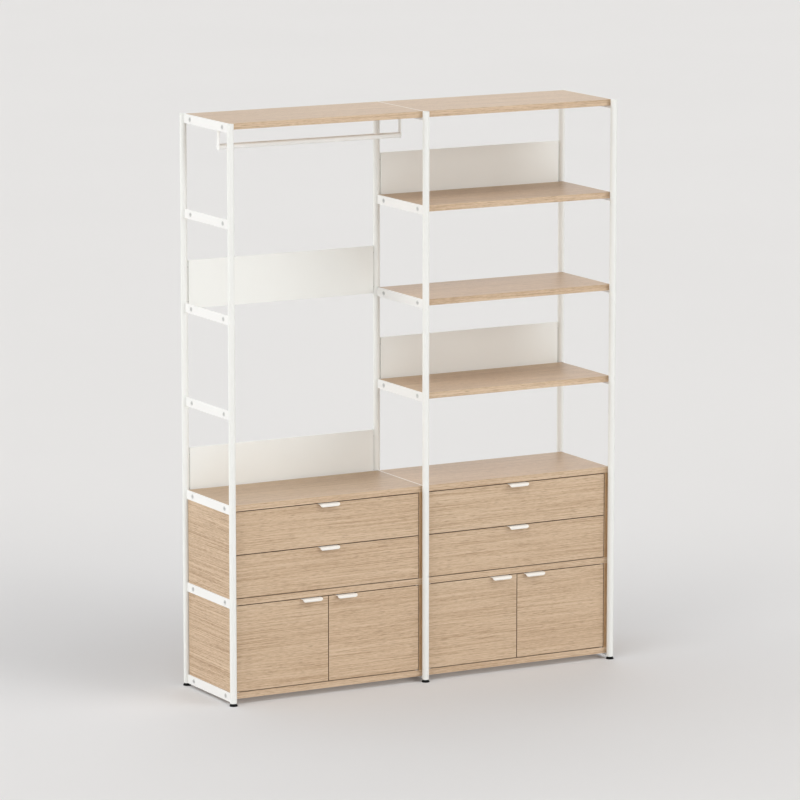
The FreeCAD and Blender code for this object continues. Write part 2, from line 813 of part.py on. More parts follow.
# Doors
def make_door(bay, hand):
    """A door with a pull on its top edge and a pivot pin at the top and the bottom."""
    prefix = "%s_%s_door" % (bay, hand)
    start = BAY_STARTS[bay]
    foot = "board_top + front_gap"
    head = "board_top + module_height - front_gap"
    y = "board_front + pivot_setback"
    if hand == "left":
        corner = start + " + front_edge"
        axis = pivot_lines(bay)[0]
        pull = BAYS[bay] + " - door_pull_setback"
    else:
        corner = start + " + bay_pitch - front_edge - door_width"
        axis = pivot_lines(bay)[1]
        pull = BAYS[bay] + " + door_pull_setback"
    form = ("door_width", "front_thickness", "door_height")
    plain = block(prefix + "_plain", form, (corner, "board_front", foot))
    low_end = foot + " - front_gap - pivot_reach"
    high_end = head + " - pivot_seat"
    bores = [
        rod(prefix + "_bore", "pivot_radius", "pivot_seat + overrun", (axis, y, foot + " - overrun")),
        rod(prefix + "_bore", "pivot_radius", "pivot_seat + overrun", (axis, y, high_end)),
    ]
    node(prefix, [cut(prefix + "_leaf", plain, bores + [pull_rebate(prefix, pull, head)])])
    pins = [rod(prefix + "_pin", "pivot_radius", "pivot_length", (axis, y, z)) for z in (low_end, high_end)]
    node(prefix + "_pivots", pins)
    node(prefix + "_pull", [make_pull(prefix + "_sheet", pull, head)])


def make_bush(name, x, y, face, upwards):
    """A nylon bush let into a board, with a thin flange in the gap over or under the door."""
    if upwards:
        barrel_at = (x, y, face)
        flange_at = (x, y, face + " - bush_flange_thickness")
    else:
        barrel_at = (x, y, face + " - bush_depth")
        flange_at = (x, y, face)
    barrel = rod(name + "_barrel", "bush_diameter / 2", "bush_depth", barrel_at)
    flange = rod(name + "_flange", "bush_flange / 2", "bush_flange_thickness", flange_at)
    blank = join(name + "_blank", [barrel, flange])
    bore_length = "bush_depth + bush_flange_thickness + 2 * overrun"
    bore_at = (x, y, (barrel_at[2] if not upwards else flange_at[2]) + " - overrun")
    return cut(name, blank, [rod(name + "_bore", "pivot_radius + pivot_clearance", bore_length, bore_at)])


def make_bushes():
    bushes = []
    y = "board_front + pivot_setback"
    for bay in BAYS:
        for x in pivot_lines(bay):
            upper = level_up("board_underside", DIVIDER_LEVEL)
            bushes.append(make_bush(bay + "_upper_bush", x, y, upper, True))
            bushes.append(make_bush(bay + "_lower_bush", x, y, "board_top", False))
    node("pivot_bushes", bushes)


# The whole object
for frame_name, frame_middle in FRAMES.items():
    make_posts(frame_name, frame_middle)
    make_crossbars(frame_name, frame_middle)
make_plugs()
for board_label, (board_bay, board_level) in BOARDS.items():
    make_board(board_label, board_bay, board_level)
make_cabinet("left_bay", "left")
make_cabinet("right_bay", "right")
make_cabinet_backs()
make_bolts()
for panel_label, (panel_bay, panel_level) in BACK_PANELS.items():
    make_back_panel(panel_label, panel_bay, panel_level)
make_screws()
make_rail()
make_brackets()
drawer_feet = {
    "lower": level_up("board_top + front_gap", DIVIDER_LEVEL),
    "upper": level_up("board_top + front_gap + drawer_pitch", DIVIDER_LEVEL),
}
for bay_name in BAYS:
    for row_name, row_foot in drawer_feet.items():
        make_drawer(bay_name, row_name, row_foot)
    for door_hand in ("left", "right"):
        make_door(bay_name, door_hand)
make_runners(drawer_feet.values())
make_bushes()

doc.recompute()
failed = [item.Name for item in doc.Objects if "Invalid" in item.State or "Error" in item.State]
if failed:
    raise RuntimeError("these objects failed: " + ", ".join(failed))
for label, finished in NODES.items():
    if finished.Shape.isNull() or not finished.Shape.isValid():
        raise RuntimeError(label + " has no valid shape")

os.makedirs("parts", exist_ok=True)
for label, finished in NODES.items():
    finished.Shape.exportStep("parts/%s.step" % label)
    print("%-34s %2d solids %12.1f mm3" % (label, len(finished.Shape.Solids), finished.Shape.Volume))
print(len(NODES), "nodes")
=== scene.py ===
import json
import math

import bmesh
import bpy
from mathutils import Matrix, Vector


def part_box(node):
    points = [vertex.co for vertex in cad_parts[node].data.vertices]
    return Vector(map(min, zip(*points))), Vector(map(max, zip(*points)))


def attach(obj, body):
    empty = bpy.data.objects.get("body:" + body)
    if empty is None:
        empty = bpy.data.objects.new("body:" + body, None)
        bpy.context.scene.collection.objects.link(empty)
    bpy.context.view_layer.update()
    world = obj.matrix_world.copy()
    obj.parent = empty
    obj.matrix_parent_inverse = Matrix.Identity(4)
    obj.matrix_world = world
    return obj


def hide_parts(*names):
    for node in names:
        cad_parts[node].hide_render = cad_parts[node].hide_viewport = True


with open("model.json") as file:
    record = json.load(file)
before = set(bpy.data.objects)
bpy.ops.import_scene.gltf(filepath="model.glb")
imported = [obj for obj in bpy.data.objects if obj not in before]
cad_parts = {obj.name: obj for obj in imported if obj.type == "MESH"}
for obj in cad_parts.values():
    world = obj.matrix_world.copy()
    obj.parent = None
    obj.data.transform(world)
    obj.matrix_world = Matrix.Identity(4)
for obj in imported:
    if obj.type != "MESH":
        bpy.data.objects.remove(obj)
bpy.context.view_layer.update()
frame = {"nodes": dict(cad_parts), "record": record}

UP = (0, 0, 1)

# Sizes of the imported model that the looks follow
BAY = 0.8
POST_LINE = 0.19  # from the middle of the depth to the posts' axes
POST_RADIUS = 0.0125
POST_WALL = 0.0015
POST_FOOT = 0.010
CAP_HEIGHT = 0.008
LEVELS = 7
BARE_LEVELS = (3, 4, 5)  # the crossbars that carry no board of the left bay
LEVEL_PITCH = 0.348
BAR_HEIGHT = 0.034
BAR_THICKNESS = 0.004
WELD_GAP = 0.0001  # between a crossbar's end and the post
BOLT_HEIGHT = POST_FOOT + BAR_HEIGHT / 2
BOLT_LINE = POST_LINE - 0.06
HOLE_RADIUS = 0.0052
BOARD_THICKNESS = 0.023
BOARD_UNDERSIDE = POST_FOOT + BAR_HEIGHT - BOARD_THICKNESS
BOX_WALL = 0.012
PANEL = {"height": 0.178, "sheet": 0.0012, "end_gap": 0.0034, "screw_margin": 0.025}
PANEL_LEVELS = ((-BAY, (4, 2)), (0.0, (5, 3)))  # where each bay starts along X, and its panels' levels
BRACKET = {"foot": 0.046, "sheet": 0.003}
PULL = {"seat": 0.012, "ledge": 0.004, "reach": 0.019, "drop": 0.011, "bend": 0.008, "corner": 0.0095,
        "sheet": 0.002}
POST_HEAD = POST_FOOT + BAR_HEIGHT + (LEVELS - 1) * LEVEL_PITCH
FRAME_LINES = {"left_frame": -BAY, "middle_frame": 0.0, "right_frame": BAY}

# Words that the names of nodes are made of
BAYS = ("left_bay", "right_bay")
ROWS = ("upper", "lower")
HANDS = ("left", "right")

# How far each kind of edge is eased
EASE = {"tube": 0.0004, "bar": 0.0006, "bolt_head": 0.00025, "board": 0.0007, "cabinet_side": 0.0005,
        "cabinet_back": 0.0004, "front": 0.0004, "pull": 0.0004, "drawer_box": 0.0008, "slide": 0.0008,
        "panel": 0.0005, "rail": 0.0008, "bracket": 0.0004}
EASE_ANGLE = math.radians(38)
FLAT_ANGLE = math.radians(0.5)
# From what turn, in degrees, an edge of a turned, a round or a screw's shape is shaded sharp
TURNED_SHARP = 32
ROUND_SHARP = 40
SCREW_SHARP = 25
# Points nearer than this to each other are one
JOIN_DISTANCE = 1e-6
POLE_DISTANCE = 1e-7
PLATE_DISTANCE = 1e-5


# Camera and light

# The camera was fitted to the photograph. Down and right are the angles that it is turned by.
CAMERA = {"place": (-8.745736, -15.909212, 4.223657), "down": 0.173852, "right": 0.502442, "lens": 223.197,
          "sensor": 36, "reach": 300}


def set_camera():
    data = bpy.data.cameras.new("studio_camera")
    data.sensor_width = CAMERA["sensor"]
    data.lens = CAMERA["lens"]
    data.clip_end = CAMERA["reach"]
    camera = bpy.data.objects.new("studio_camera", data)
    camera.location = CAMERA["place"]
    camera.rotation_euler = (math.pi / 2 - CAMERA["down"], 0, -CAMERA["right"])
    bpy.context.scene.collection.objects.link(camera)
    bpy.context.scene.camera = camera


# Each lamp's turn from +X and height over the floor, in degrees, and its strength
LAMPS = {
    "left_panel": (158, 12, 1.1),
    "front_left_panel": (202, 12, 0.85),
    "front_right_panel": (292, 12, 0.9),
    "back_right_panel": (45, 12, 0.3),
    "back_softbox": (68, 38, 0.5),
    "back_left_softbox": (112, 38, 0.4),
    "right_softbox": (315, 38, 0.8),
    "high_softbox": (225, 65, 0.7),
}
LAMP_SOFTNESS = math.radians(40)
AIR_STRENGTH = 0.2
# How far inside the bay's ends and the rows of posts a low lamp stops, its height and its power
LOW_FILL = {"end_margin": 0.02, "side_margin": 0.03, "height": 0.0195, "power": 0.13}


def distant_light(name, turn, height, strength):
    """A large soft lamp so far away that the whole floor gets the same light."""
    data = bpy.data.lights.new(name, "SUN")
    data.energy = strength
    data.angle = LAMP_SOFTNESS
    light = bpy.data.objects.new(name, data)
    turn, height = math.radians(turn), math.radians(height)
    along_floor = math.cos(height)
    towards = Vector((along_floor * math.cos(turn), along_floor * math.sin(turn), math.sin(height)))
    light.rotation_euler = towards.to_track_quat("Z", "Y").to_euler()
    bpy.context.scene.collection.objects.link(light)


def low_fill(name, x):
    """A thin weak lamp under one bay's base board that softens the shadow on the floor there."""
    data = bpy.data.lights.new(name, "AREA")
    data.shape = "RECTANGLE"
    data.size = BAY - 2 * LOW_FILL["end_margin"]
    data.size_y = 2 * (POST_LINE - LOW_FILL["side_margin"])
    data.energy = LOW_FILL["power"]
    light = bpy.data.objects.new(name, data)
    light.location = (x, 0, LOW_FILL["height"])
    light.visible_camera = False
    bpy.context.scene.collection.objects.link(light)


def set_lights():
    for name, (turn, height, strength) in LAMPS.items():
        distant_light(name, turn, height, strength)
    low_fill("left_low_fill", -BAY / 2)
    low_fill("right_low_fill", BAY / 2)
    world = bpy.data.worlds.new("studio_air")
    world.use_nodes = True
    background = world.node_tree.nodes["Background"]
    background.inputs["Color"].default_value = (1.0, 1.0, 1.0, 1)
    background.inputs["Strength"].default_value = AIR_STRENGTH
    scene = bpy.context.scene
    scene.world = world
    scene.view_settings.view_transform = "Standard"


# Node helpers
def set_input(node, **values):
    """Sets a node's inputs by their names, with _ for each space."""
    for name, value in values.items():
        node.inputs[name.replace("_", " ")].default_value = value


def math_node(tree, kind, first, second=None):
    node = tree.nodes.new("ShaderNodeMath")
    node.operation = kind
    for socket, value in zip(node.inputs, (first, second)):
        if value is None:
            continue
        if isinstance(value, (int, float)):
            socket.default_value = value
        else:
            tree.links.new(value, socket)
    return node.outputs[0]


def scaled(tree, value, factor):
    return math_node(tree, "MULTIPLY", value, factor)


def noise(tree, where, scale, detail=2.0, roughness=0.5):
    """Noise that is drawn out by a different scale along each axis."""
    stretch = tree.nodes.new("ShaderNodeVectorMath")
    stretch.operation = "MULTIPLY"
    tree.links.new(where, stretch.inputs[0])
    stretch.inputs[1].default_value = scale
    texture = tree.nodes.new("ShaderNodeTexNoise")
    set_input(texture, Scale=1.0, Detail=detail, Roughness=roughness)
    tree.links.new(stretch.outputs[0], texture.inputs["Vector"])
    return texture.outputs["Fac"]


def ramp(tree, value, stops):
    node = tree.nodes.new("ShaderNodeValToRGB")
    elements = node.color_ramp.elements
    while len(elements) < len(stops):
        elements.new(0.5)
    for element, (position, colour) in zip(elements, stops):
        element.position = position
        element.color = (*colour, 1)
    tree.links.new(value, node.inputs["Fac"])
    return node.outputs["Color"]


def level(tree, value, low=0.3, high=0.7, to_low=0.0, to_high=1.0):
    """Stretches a value's range, by default the middle that most noise lies in, over another."""
    node = tree.nodes.new("ShaderNodeMapRange")
    for name, number in (("From Min", low), ("From Max", high), ("To Min", to_low), ("To Max", to_high)):
        node.inputs[name].default_value = number
    tree.links.new(value, node.inputs["Value"])
    return node.outputs["Result"]


def mix(tree, amount, first, second, kind="MIX"):
    """Mixes two colours. Each of the three values may be a number, a colour or a socket."""
    node = tree.nodes.new("ShaderNodeMix")
    node.data_type = "RGBA"
    node.blend_type = kind
    sockets = {"Factor": node.inputs[0], "A": node.inputs[6], "B": node.inputs[7]}
    for key, value in (("Factor", amount), ("A", first), ("B", second)):
        if isinstance(value, (int, float)):
            sockets[key].default_value = value
        elif isinstance(value, tuple):
            sockets[key].default_value = (*value, 1)
        else:
            tree.links.new(value, sockets[key])
    return node.outputs[2]


def new_material(name):
    material = bpy.data.materials.new(name)
    material.use_nodes = True
    tree = material.node_tree
    return material, tree, tree.nodes["Principled BSDF"]


def object_place(tree, shift=(0, 0, 0), turn=(0, 0, 0)):
    coordinates = tree.nodes.new("ShaderNodeTexCoord")
    mapping = tree.nodes.new("ShaderNodeMapping")
    mapping.inputs["Location"].default_value = shift
    mapping.inputs["Rotation"].default_value = turn
    tree.links.new(coordinates.outputs["Object"], mapping.inputs["Vector"])
    return mapping.outputs["Vector"]


def bump(tree, shader, height, strength, distance):
    node = tree.nodes.new("ShaderNodeBump")
    node.inputs["Strength"].default_value = strength
    node.inputs["Distance"].default_value = distance
    tree.links.new(height, node.inputs["Height"])
    tree.links.new(node.outputs["Normal"], shader.inputs["Normal"])


# Finishes

# How fine each pattern is along X, Y and Z: about how many spots it has to a metre
COAT_CLOUD = (3.0, 3.0, 3.0)
ORANGE_PEEL = (620.0, 620.0, 620.0)
PLASTIC_GRAIN = (900.0, 900.0, 900.0)
BRUSHING = (40.0, 900.0, 900.0)
SPANGLE = (160.0, 160.0, 160.0)
BIRCH_GRAIN = (6.0, 160.0, 160.0)
FLOOR_CLOUD = (0.4, 0.4, 0.4)


def powder_coat(name, colour, shade, roughness=0.42):
    """Satin powder coat: a faint orange peel, with slightly uneven gloss."""
    material, tree, shader = new_material(name)
    where = object_place(tree)
    cloud = level(tree, noise(tree, where, COAT_CLOUD, detail=3), low=0.35, high=0.65)
    tree.links.new(mix(tree, cloud, colour, shade), shader.inputs["Base Color"])
    peel = noise(tree, where, ORANGE_PEEL, detail=2)
    uneven = level(tree, peel, to_low=roughness - 0.05, to_high=roughness + 0.06)
    tree.links.new(uneven, shader.inputs["Roughness"])
    bump(tree, shader, peel, strength=0.12, distance=0.0002)
    set_input(shader, Specular_IOR_Level=0.45)
    return material


def moulded_plastic(name, colour, shade, roughness, gloss=0.5):
    """Plastic with the fine grain of a textured mould."""
    material, tree, shader = new_material(name)
    where = object_place(tree)
    grain = noise(tree, where, PLASTIC_GRAIN, detail=2)
    speckle = level(tree, grain, low=0.4, high=0.6)
    tree.links.new(mix(tree, speckle, colour, shade), shader.inputs["Base Color"])
    uneven = level(tree, grain, to_low=roughness - 0.06, to_high=roughness + 0.06)
    tree.links.new(uneven, shader.inputs["Roughness"])
    bump(tree, shader, grain, strength=0.2, distance=0.00012)
    set_input(shader, Specular_IOR_Level=gloss)
    return material


def plated_steel(name, dull, bright, roughness):
    """Plated steel with a soft spangle and fine lines from its drawing."""
    material, tree, shader = new_material(name)
    where = object_place(tree)
    brushed = noise(tree, where, BRUSHING, detail=3)
    spangle = level(tree, noise(tree, where, SPANGLE, detail=2), low=0.35, high=0.65)
    tree.links.new(mix(tree, spangle, dull, bright), shader.inputs["Base Color"])
    uneven = level(tree, brushed, to_low=roughness - 0.08, to_high=roughness + 0.08)
    tree.links.new(uneven, shader.inputs["Roughness"])
    bump(tree, shader, brushed, strength=0.1, distance=0.0001)
    set_input(shader, Metallic=1.0)
    return material


# How the pattern is turned so that the grain runs along an axis
GRAIN_TURNS = {"X": (0, 0, 0), "Y": (0, 0, math.pi / 2), "Z": (0, math.pi / 2, 0)}
OAK = {"light": (0.663, 0.495, 0.338), "middle": (0.590, 0.423, 0.273), "dark": (0.452, 0.296, 0.172)}
OAK_PORE = (0.30, 0.19, 0.11)
OAK_DRIFT = (0.97, 0.93, 0.9)
WARMTH_LOSS = (0.0, 0.013, 0.02)
# The oak's patterns along the grain and across it, and how much three of them add to the figure
OAK_PATTERNS = {
    "wave": (1.2, 4.0, 4.0),
    "drift": (0.9, 1.7, 1.7),
    "bands": (0.8, 60.0, 60.0),
    "streaks": (2.4, 380.0, 380.0),
    "fine": (50.0, 600.0, 600.0),
    "pores": (24.0, 420.0, 420.0),
}
FIGURE_PARTS = {"bands": 0.16, "streaks": 0.5, "fine": 0.34}
WAVE_DEPTH = 0.012
SEED_STEPS = (1.37, 0.73, 2.11)


def oak_colour(shade, tone, warmth, depth):
    """One of the oak's three colours. Warmth takes green and blue away, and depth strengthens the figure."""
    colour = [middle + (own - middle) * depth for own, middle in zip(OAK[shade], OAK["middle"])]
    return tuple((value - loss * warmth) * tone for value, loss in zip(colour, WARMTH_LOSS))


def oak_veneer(name, grain, seed, tone=1.0, warmth=0.0, depth=1.0, gloss=0.35):
    """Oak veneer with a straight fine grain, soft bands, short dark pores and a matt lacquer."""
    material, tree, shader = new_material(name)
    where = object_place(tree, [seed * step for step in SEED_STEPS], GRAIN_TURNS[grain])

    wave = noise(tree, where, OAK_PATTERNS["wave"], detail=2)
    offset = scaled(tree, math_node(tree, "SUBTRACT", wave, 0.5), WAVE_DEPTH)
    sway = tree.nodes.new("ShaderNodeCombineXYZ")
    for axis in ("Y", "Z"):
        tree.links.new(offset, sway.inputs[axis])
    bent = tree.nodes.new("ShaderNodeVectorMath")
    tree.links.new(where, bent.inputs[0])
    tree.links.new(sway.outputs[0], bent.inputs[1])
    bent = bent.outputs[0]

    bands = noise(tree, bent, OAK_PATTERNS["bands"], detail=2)
    streaks = noise(tree, bent, OAK_PATTERNS["streaks"], detail=2, roughness=0.6)
    fine = noise(tree, bent, OAK_PATTERNS["fine"], detail=2, roughness=0.6)
    pores = noise(tree, bent, OAK_PATTERNS["pores"], detail=1)

    figure = scaled(tree, level(tree, bands), FIGURE_PARTS["bands"])
    for pattern, part in ((streaks, FIGURE_PARTS["streaks"]), (fine, FIGURE_PARTS["fine"])):
        figure = math_node(tree, "ADD", figure, scaled(tree, level(tree, pattern), part))
    dark, middle, light = (oak_colour(shade, tone, warmth, depth) for shade in ("dark", "middle", "light"))
    colour = ramp(tree, figure, ((0.24, dark), (0.5, middle), (0.74, light)))
    drift = noise(tree, where, OAK_PATTERNS["drift"], detail=2)
    colour = mix(tree, level(tree, drift, to_high=0.5), colour, OAK_DRIFT, "MULTIPLY")
    pore_mask = level(tree, pores, low=0.58, high=0.7)
    pore = tuple(value * tone for value in OAK_PORE)
    colour = mix(tree, scaled(tree, pore_mask, 0.5), colour, pore)
    tree.links.new(colour, shader.inputs["Base Color"])
    tree.links.new(level(tree, streaks, to_low=0.36, to_high=0.48), shader.inputs["Roughness"])
    relief = math_node(tree, "SUBTRACT", scaled(tree, fine, 0.5), pore_mask)
    bump(tree, shader, relief, strength=0.22, distance=0.00015)
    set_input(shader, Specular_IOR_Level=gloss)
    return material


PLY_LAYERS = 0.0024  # the thickness of two layers, a pale one and a dark one
BIRCH_COLOURS = ((0.66, 0.53, 0.37), (0.58, 0.44, 0.29))
GLUE_LINE = (0.36, 0.24, 0.14)


def birch_ply(name, layers=None):
    """Pale birch. On an edge, its thin layers run along the wall; layers is the axis across them."""
    material, tree, shader = new_material(name)
    where = object_place(tree)
    grain = noise(tree, where, BIRCH_GRAIN, detail=3)
    colour = mix(tree, level(tree, grain), *BIRCH_COLOURS)
    if layers:
        split = tree.nodes.new("ShaderNodeSeparateXYZ")
        tree.links.new(where, split.inputs[0])
        across = scaled(tree, split.outputs[layers], 1 / PLY_LAYERS)
        place = math_node(tree, "SUBTRACT", math_node(tree, "FRACT", across), 0.5)
        line = level(tree, math_node(tree, "ABSOLUTE", place), low=0.25, high=0.32)
        colour = mix(tree, scaled(tree, line, 0.6), colour, GLUE_LINE)
    tree.links.new(colour, shader.inputs["Base Color"])
    tree.links.new(level(tree, grain, to_low=0.48, to_high=0.6), shader.inputs["Roughness"])
    bump(tree, shader, grain, strength=0.12, distance=0.0001)
    return material


# Mesh helpers
def new_piece(name, mesh):
    piece = bpy.data.objects.new(name, mesh)
    bpy.context.scene.collection.objects.link(piece)
    return piece


def settle(piece):
    """Makes a piece's modifiers into its own plain mesh."""
    graph = bpy.context.evaluated_depsgraph_get()
    mesh = bpy.data.meshes.new_from_object(piece.evaluated_get(graph))
    piece.modifiers.clear()
    piece.data = mesh
    mesh.name = piece.name
    return piece


def ease_edges(piece, width, segments=2):
    """Eases a piece's sharp edges and keeps its flat faces shaded flat."""
    for polygon in piece.data.polygons:
        polygon.use_smooth = True
    edge = piece.modifiers.new("eased_edges", "BEVEL")
    edge.width = width
    edge.segments = segments
    edge.limit_method = "ANGLE"
    edge.angle_limit = EASE_ANGLE
    weighted = piece.modifiers.new("face_normals", "WEIGHTED_NORMAL")
    weighted.mode = "FACE_AREA"
    weighted.weight = 100
    settle(piece)


def smooth_mesh(mesh, angle):
    """Shades a mesh smooth, apart from edges that turn by more than the angle in degrees."""
    for polygon in mesh.polygons:
        polygon.use_smooth = True
    mesh.set_sharp_from_angle(angle=math.radians(angle))


def join_flat_faces(form):
    bmesh.ops.dissolve_limit(form, angle_limit=FLAT_ANGLE, verts=form.verts, edges=form.edges)


def merged_copy(node, name):
    """A copy of a CAD node's mesh with its loose triangles joined and its flat faces made whole."""
    form = bmesh.new()
    form.from_mesh(frame["nodes"][node].data)
    bmesh.ops.remove_doubles(form, verts=form.verts, dist=JOIN_DISTANCE)
    join_flat_faces(form)
    mesh = bpy.data.meshes.new(name)
    form.to_mesh(mesh)
    form.free()
    return new_piece(name, mesh)


def body_of(node):
    for body, members in frame["record"]["behaviour"]["bodies"].items():
        if node in members:
            return body
    return "rack"


def stand_for(piece, node):
    """Puts a finished piece in a CAD node's place."""
    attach(piece, body_of(node))
    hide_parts(node)


def eased_node(node, width, material):
    """The CAD shape in a better finish, with eased edges."""
    piece = merged_copy(node, node + "_eased")
    piece.data.materials.append(material)
    ease_edges(piece, width)
    stand_for(piece, node)


def banded_node(node, ending, face, band, on_band, ease):
    """A CAD node's shape in oak, with an edge band on the faces that on_band picks by their normals."""
    piece = merged_copy(node, node + ending)
    for material in (face, band):
        piece.data.materials.append(material)
    for polygon in piece.data.polygons:
        polygon.material_index = 1 if on_band(polygon.normal) else 0
    ease_edges(piece, ease)
    stand_for(piece, node)


def is_front(normal):
    return normal.y < -0.9


def is_rim(normal):
    return abs(normal.y) <= 0.5


def turned_form(form, profile, start, along, segments):
    """Adds a turned shape to a form. The profile is pairs of distance along the axis and radius."""
    turn = Vector((0, 0, 1)).rotation_difference(Vector(along)).to_matrix()
    rings = []
    for distance, radius in profile:
        if radius == 0:
            rings.append([form.verts.new(Vector(start) + turn @ Vector((0, 0, distance)))])
            continue
        ring = []
        for index in range(segments):
            angle = 2 * math.pi * index / segments
            point = Vector((radius * math.cos(angle), radius * math.sin(angle), distance))
            ring.append(form.verts.new(Vector(start) + turn @ point))
        rings.append(ring)
    for lower, upper in zip(rings, rings[1:]):
        for index in range(segments):
            following = (index + 1) % segments
            if len(lower) == 1:
                form.faces.new((lower[0], upper[following], upper[index]))
            elif len(upper) == 1:
                form.faces.new((lower[index], lower[following], upper[0]))
            else:
                form.faces.new((lower[index], lower[following], upper[following], upper[index]))


def turned_piece(name, material, parts, segments=48):
    """One piece of several turned shapes, each a profile with its start and its direction."""
    form = bmesh.new()
    for profile, start, along in parts:
        turned_form(form, profile, start, along, segments)
    bmesh.ops.remove_doubles(form, verts=form.verts, dist=POLE_DISTANCE)
    bmesh.ops.recalc_face_normals(form, faces=form.faces)
    mesh = bpy.data.meshes.new(name)
    form.to_mesh(mesh)
    form.free()
    smooth_mesh(mesh, TURNED_SHARP)
    mesh.materials.append(material)
    return new_piece(name, mesh)


# Geometry Nodes helpers
def new_tree(name, sizes):
    """A tree with a geometry input, named size inputs, and a geometry output."""
    tree = bpy.data.node_groups.new(name, "GeometryNodeTree")
    tree.interface.new_socket("Geometry", in_out="INPUT", socket_type="NodeSocketGeometry")
    tree.interface.new_socket("Geometry", in_out="OUTPUT", socket_type="NodeSocketGeometry")
    for label, value in sizes.items():
        kind = "NodeSocketInt" if isinstance(value, int) else "NodeSocketFloat"
        socket = tree.interface.new_socket(label, in_out="INPUT", socket_type=kind)
        socket.default_value = value
    return tree, tree.nodes.new("NodeGroupInput"), tree.nodes.new("NodeGroupOutput")


def add_node(tree, kind, links=None, **settings):
    node = tree.nodes.new(kind)
    for name, value in settings.items():
        setattr(node, name, value)
    for socket, value in (links or {}).items():
        target = node.inputs[socket]
        if hasattr(value, "links"):
            tree.links.new(value, target)
        else:
            target.default_value = value
    return node


def vector(tree, **parts):
    """A vector of the given X, Y and Z, each a number or a socket."""
    return add_node(tree, "ShaderNodeCombineXYZ", parts).outputs[0]


def joined(tree, shapes):
    node = add_node(tree, "GeometryNodeJoinGeometry")
    for shape in shapes:
        tree.links.new(shape, node.inputs[0])
    return node.outputs[0]


def shifted(tree, shape, shift):
    return add_node(tree, "GeometryNodeTransform", {"Geometry": shape, "Translation": shift}).outputs[0]


def turned(tree, shape, angles):
    return add_node(tree, "GeometryNodeTransform", {"Geometry": shape, "Rotation": angles}).outputs[0]


def circle(tree, sides, radius):
    node = add_node(tree, "GeometryNodeCurvePrimitiveCircle", {"Resolution": sides, "Radius": radius})
    return node.outputs[0]


def rectangle(tree, width, height):
    node = add_node(tree, "GeometryNodeCurvePrimitiveQuadrilateral", {"Width": width, "Height": height})
    return node.outputs[0]


def copies(tree, points, shape, **more):
    """A copy of a shape on every point."""
    links = {"Points": points, "Instance": shape, **more}
    return add_node(tree, "GeometryNodeInstanceOnPoints", links).outputs[0]


def along_arrows(tree):
    """The turn that brings a shape's Z axis along each point's arrow."""
    arrow = add_node(tree, "GeometryNodeInputNamedAttribute", {"Name": "arrow"}, data_type="FLOAT_VECTOR")
    turn = add_node(tree, "FunctionNodeAlignRotationToVector", {"Vector": arrow.outputs[0]}, axis="Z")
    return turn.outputs[0]


def close_tree(tree, output, geometry, material):
    """Ends a tree with real meshes in one finish."""
    real = add_node(tree, "GeometryNodeRealizeInstances", {"Geometry": geometry})
    coated = add_node(tree, "GeometryNodeSetMaterial", {"Geometry": real.outputs[0], "Material": material})
    tree.links.new(coated.outputs[0], output.inputs[0])


def grown(name, tree, sizes, points=(), arrows=()):
    """Runs a tree on loose points, and makes its result a plain mesh."""
    mesh = bpy.data.meshes.new(name)
    mesh.from_pydata([tuple(point) for point in points], [], [])
    if arrows:
        attribute = mesh.attributes.new("arrow", "FLOAT_VECTOR", "POINT")
        for index, arrow in enumerate(arrows):
            attribute.data[index].vector = arrow
    piece = new_piece(name, mesh)
    modifier = piece.modifiers.new(name, "NODES")
    modifier.node_group = tree
    for item in tree.interface.items_tree:
        if item.in_out == "INPUT" and item.name in sizes:
            modifier[item.identifier] = sizes[item.name]
    return settle(piece)


def plate_of(tree, lines, thickness):
    """A closed flat plate that stands on its outline and its holes' lines."""
    face = add_node(tree, "GeometryNodeFillCurve", {"Curve": joined(tree, lines)})
    back = add_node(tree, "GeometryNodeFlipFaces", {"Mesh": face.outputs[0]})
    lifted = add_node(tree, "GeometryNodeExtrudeMesh",
                      {"Mesh": face.outputs[0], "Offset Scale": thickness, "Individual": False})
    shell = joined(tree, (back.outputs[0], lifted.outputs[0]))
    closed = add_node(tree, "GeometryNodeMergeByDistance", {"Geometry": shell, "Distance": PLATE_DISTANCE})
    return closed.outputs[0]


def crossbar_tree(material, sizes):
    """A column of flat bars with two bolt holes each, one at every level."""
    tree, entry, result = new_tree("crossbar_column", sizes)
    size = entry.outputs
    hole = circle(tree, 28, size["Hole radius"])
    holes = []
    for sign in (1, -1):
        across = scaled(tree, size["Hole spacing"], sign / 2)
        holes.append(shifted(tree, hole, vector(tree, X=across)))
    outline = rectangle(tree, size["Bar length"], size["Bar height"])
    bar = plate_of(tree, (outline, *holes), size["Bar thickness"])
    centred = shifted(tree, bar, vector(tree, Z=scaled(tree, size["Bar thickness"], -0.5)))
    upright = turned(tree, centred, (math.pi / 2, 0, math.pi / 2))
    rise = vector(tree, Z=size["Level pitch"])
    column = add_node(tree, "GeometryNodeMeshLine", {"Count": size["Levels"], "Offset": rise})
    bars = copies(tree, column.outputs[0], upright)
    close_tree(tree, result, copies(tree, size["Geometry"], bars), material)
    return tree


def bead_tree(material, sizes):
    """Short round weld beads that stand up in the corners between bars and posts."""
    tree, entry, result = new_tree("weld_beads", sizes)
    size = entry.outputs
    top = vector(tree, Z=scaled(tree, size["Bead length"], 0.5))
    foot = vector(tree, Z=scaled(tree, size["Bead length"], -0.5))
    line = add_node(tree, "GeometryNodeCurvePrimitiveLine", {"Start": foot, "End": top})
    section = circle(tree, size["Sides"], size["Bead radius"])
    bead = add_node(tree, "GeometryNodeCurveToMesh",
                    {"Curve": line.outputs[0], "Profile Curve": section, "Fill Caps": True})
    close_tree(tree, result, copies(tree, size["Geometry"], bead.outputs[0]), material)
    return tree


